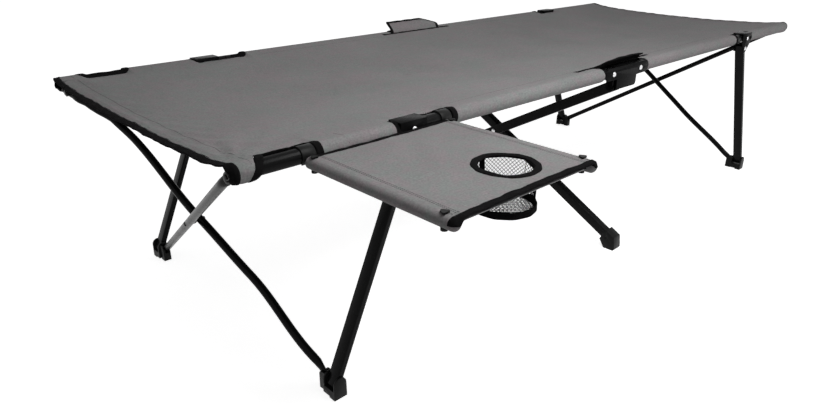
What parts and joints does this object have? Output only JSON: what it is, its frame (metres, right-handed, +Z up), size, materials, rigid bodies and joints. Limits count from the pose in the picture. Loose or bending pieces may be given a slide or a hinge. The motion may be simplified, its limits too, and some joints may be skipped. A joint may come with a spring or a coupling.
{
  "type": "folding camping cot with side table",
  "caption": "Folding camping cot: a cloth bed on two tubular side rails over crossed braces and splayed legs, with a clip-on side table that has a mesh cup pocket.",
  "frame": {"origin": "middle of the footprint on the floor, table included", "axes": "+X along the bed, towards the end without the table; +Y across the bed, away from the table's side; +Z up"},
  "size_m": [2.0282, 1.08, 0.4837],
  "materials": {
    "black_frame": "satin black powder coat",
    "zinc": "bright zinc plate",
    "plastic": "moulded black",
    "cloth": "woven grey polyester canvas",
    "mesh": "black netting"
  },
  "bodies": {
    "near_hinge": {"hinge_plate_near": "black_frame", "hinge_rivet_near_left": "zinc", "hinge_rivet_near_right": "zinc", "bed_cloth_middle": "cloth", "bed_flap_near": "cloth"},
    "centre_brace_to_far_foot": {"centre_brace_to_far_foot": "black_frame", "centre_foot_far": "plastic", "centre_cross_pin": "zinc"},
    "centre_brace_to_near_foot": {"centre_brace_to_near_foot": "black_frame", "centre_foot_near": "plastic"},
    "far_hinge": {"hinge_plate_far": "black_frame", "hinge_rivet_far_left": "zinc", "hinge_rivet_far_right": "zinc", "bed_flap_far": "cloth"},
    "rail_near_left": {"rail_near_left": "black_frame", "rail_end_near_left": "black_frame", "leg_bracket_near_left": "black_frame", "leg_pin_near_left": "zinc", "bed_hem_near_left": "cloth", "bed_cloth_left": "cloth"},
    "leg_near_left": {"leg_near_left": "black_frame"},
    "foot_near_left": {"foot_near_left": "plastic"},
    "end_brace_near_left": {"end_brace_near_left": "black_frame"},
    "rail_near_right": {"rail_near_right": "black_frame", "rail_end_near_right": "black_frame", "leg_bracket_near_right": "black_frame", "leg_pin_near_right": "zinc", "bed_hem_near_right": "cloth", "bed_cloth_right": "cloth"},
    "leg_near_right": {"leg_near_right": "black_frame"},
    "foot_near_right": {"foot_near_right": "plastic"},
    "end_brace_near_right": {"end_brace_near_right": "black_frame"},
    "rail_far_left": {"rail_far_left": "black_frame", "rail_end_far_left": "black_frame", "leg_bracket_far_left": "black_frame", "leg_pin_far_left": "zinc", "bed_hem_far_left": "cloth"},
    "leg_far_left": {"leg_far_left": "black_frame"},
    "foot_far_left": {"foot_far_left": "plastic"},
    "end_brace_far_left": {"end_brace_far_left": "black_frame"},
    "rail_far_right": {"rail_far_right": "black_frame", "rail_end_far_right": "black_frame", "leg_bracket_far_right": "black_frame", "leg_pin_far_right": "zinc", "bed_hem_far_right": "cloth"},
    "leg_far_right": {"leg_far_right": "black_frame"},
    "foot_far_right": {"foot_far_right": "plastic"},
    "end_brace_far_right": {"end_brace_far_right": "black_frame"},
    "side_table": {"table_arm_left": "black_frame", "table_arm_right": "black_frame", "table_clip_left": "plastic", "table_clip_right": "plastic", "table_screw_inner_left": "plastic", "table_screw_inner_right": "plastic", "table_screw_outer_left": "plastic", "table_screw_outer_right": "plastic", "table_cloth": "cloth", "table_spreader": "black_frame", "cup_pocket": "mesh"}
  },
  "joints": [
    {"name": "fold", "type": "hinge", "parent": "near_hinge", "child": "centre_brace_to_far_foot", "pos_m": [-0.0105, -0.211, 0.42], "axis": [-1, 0, 0], "range_deg": [0, 37.5], "deforming": ["bed_cloth_left", "bed_cloth_right", "bed_cloth_middle", "bed_flap_near", "bed_flap_far"]},
    {"name": "centre_cross", "type": "hinge", "parent": "centre_brace_to_far_foot", "child": "centre_brace_to_near_foot", "pos_m": [0, 0.134, 0.23441], "axis": [1, 0, 0], "range_deg": [0, 75]},
    {"name": "far_brace_hinge", "type": "hinge", "parent": "centre_brace_to_near_foot", "child": "far_hinge", "pos_m": [0.0105, 0.479, 0.42], "axis": [-1, 0, 0], "range_deg": [0, 37.5]},
    {"name": "rail_hinge_near_left", "type": "hinge", "parent": "near_hinge", "child": "rail_near_left", "pos_m": [-0.059, -0.226, 0.46], "axis": [0, 1, 0], "range_deg": [0, 84]},
    {"name": "leg_hinge_near_left", "type": "hinge", "parent": "rail_near_left", "child": "leg_near_left", "pos_m": [-0.685, -0.226, 0.43], "axis": [0, -1, 0], "range_deg": [0, 110]},
    {"name": "foot_hinge_near_left", "type": "hinge", "parent": "leg_near_left", "child": "foot_near_left", "pos_m": [-0.862, -0.226, 0.03], "axis": [0, 1, 0], "range_deg": [0, 34.7]},
    {"name": "end_brace_hinge_near_left", "type": "hinge", "parent": "foot_near_left", "child": "end_brace_near_left", "pos_m": [-0.862, -0.199, 0.03], "axis": [1, 0, 0], "range_deg": [0, 36.1]},
    {"name": "rail_hinge_near_right", "type": "hinge", "parent": "near_hinge", "child": "rail_near_right", "pos_m": [0.059, -0.226, 0.46], "axis": [0, -1, 0], "range_deg": [0, 84]},
    {"name": "leg_hinge_near_right", "type": "hinge", "parent": "rail_near_right", "child": "leg_near_right", "pos_m": [0.685, -0.226, 0.43], "axis": [0, 1, 0], "range_deg": [0, 110]},
    {"name": "foot_hinge_near_right", "type": "hinge", "parent": "leg_near_right", "child": "foot_near_right", "pos_m": [0.862, -0.226, 0.03], "axis": [0, -1, 0], "range_deg": [0, 34.7]},
    {"name": "end_brace_hinge_near_right", "type": "hinge", "parent": "foot_near_right", "child": "end_brace_near_right", "pos_m": [0.862, -0.199, 0.03], "axis": [1, 0, 0], "range_deg": [0, 36.1]},
    {"name": "rail_hinge_far_left", "type": "hinge", "parent": "far_hinge", "child": "rail_far_left", "pos_m": [-0.059, 0.494, 0.46], "axis": [0, 1, 0], "range_deg": [0, 84]},
    {"name": "leg_hinge_far_left", "type": "hinge", "parent": "rail_far_left", "child": "leg_far_left", "pos_m": [-0.685, 0.494, 0.43], "axis": [0, -1, 0], "range_deg": [0, 110]},
    {"name": "foot_hinge_far_left", "type": "hinge", "parent": "leg_far_left", "child": "foot_far_left", "pos_m": [-0.862, 0.494, 0.03], "axis": [0, 1, 0], "range_deg": [0, 34.7]},
    {"name": "end_brace_hinge_far_left", "type": "hinge", "parent": "foot_far_left", "child": "end_brace_far_left", "pos_m": [-0.862, 0.467, 0.03], "axis": [-1, 0, 0], "range_deg": [0, 36.1]},
    {"name": "rail_hinge_far_right", "type": "hinge", "parent": "far_hinge", "child": "rail_far_right", "pos_m": [0.059, 0.494, 0.46], "axis": [0, -1, 0], "range_deg": [0, 84]},
    {"name": "leg_hinge_far_right", "type": "hinge", "parent": "rail_far_right", "child": "leg_far_right", "pos_m": [0.685, 0.494, 0.43], "axis": [0, 1, 0], "range_deg": [0, 110]},
    {"name": "foot_hinge_far_right", "type": "hinge", "parent": "leg_far_right", "child": "foot_far_right", "pos_m": [0.862, 0.494, 0.03], "axis": [0, -1, 0], "range_deg": [0, 34.7]},
    {"name": "end_brace_hinge_far_right", "type": "hinge", "parent": "foot_far_right", "child": "end_brace_far_right", "pos_m": [0.862, 0.467, 0.03], "axis": [-1, 0, 0], "range_deg": [0, 36.1]},
    {"name": "table_swing", "type": "hinge", "parent": "rail_near_left", "child": "side_table", "pos_m": [-0.75, -0.226, 0.46], "axis": [-1, 0, 0], "range_deg": [0, 75]}
  ],
  "couplings": [
    {"joint": "centre_cross", "follows": "fold", "ratio": 2},
    {"joint": "far_brace_hinge", "follows": "fold", "ratio": 1},
    {"joint": "rail_hinge_near_left", "follows": "fold", "ratio": 2.24},
    {"joint": "leg_hinge_near_left", "follows": "fold", "ratio": 2.9333},
    {"joint": "foot_hinge_near_left", "follows": "fold", "ratio": 0.9253},
    {"joint": "end_brace_hinge_near_left", "follows": "fold", "ratio": 0.9626},
    {"joint": "rail_hinge_near_right", "follows": "fold", "ratio": 2.24},
    {"joint": "leg_hinge_near_right", "follows": "fold", "ratio": 2.9333},
    {"joint": "foot_hinge_near_right", "follows": "fold", "ratio": 0.9253},
    {"joint": "end_brace_hinge_near_right", "follows": "fold", "ratio": 0.9626},
    {"joint": "rail_hinge_far_left", "follows": "fold", "ratio": 2.24},
    {"joint": "leg_hinge_far_left", "follows": "fold", "ratio": 2.9333},
    {"joint": "foot_hinge_far_left", "follows": "fold", "ratio": 0.9253},
    {"joint": "end_brace_hinge_far_left", "follows": "fold", "ratio": 0.9626},
    {"joint": "rail_hinge_far_right", "follows": "fold", "ratio": 2.24},
    {"joint": "leg_hinge_far_right", "follows": "fold", "ratio": 2.9333},
    {"joint": "foot_hinge_far_right", "follows": "fold", "ratio": 0.9253},
    {"joint": "end_brace_hinge_far_right", "follows": "fold", "ratio": 0.9626}
  ]
}
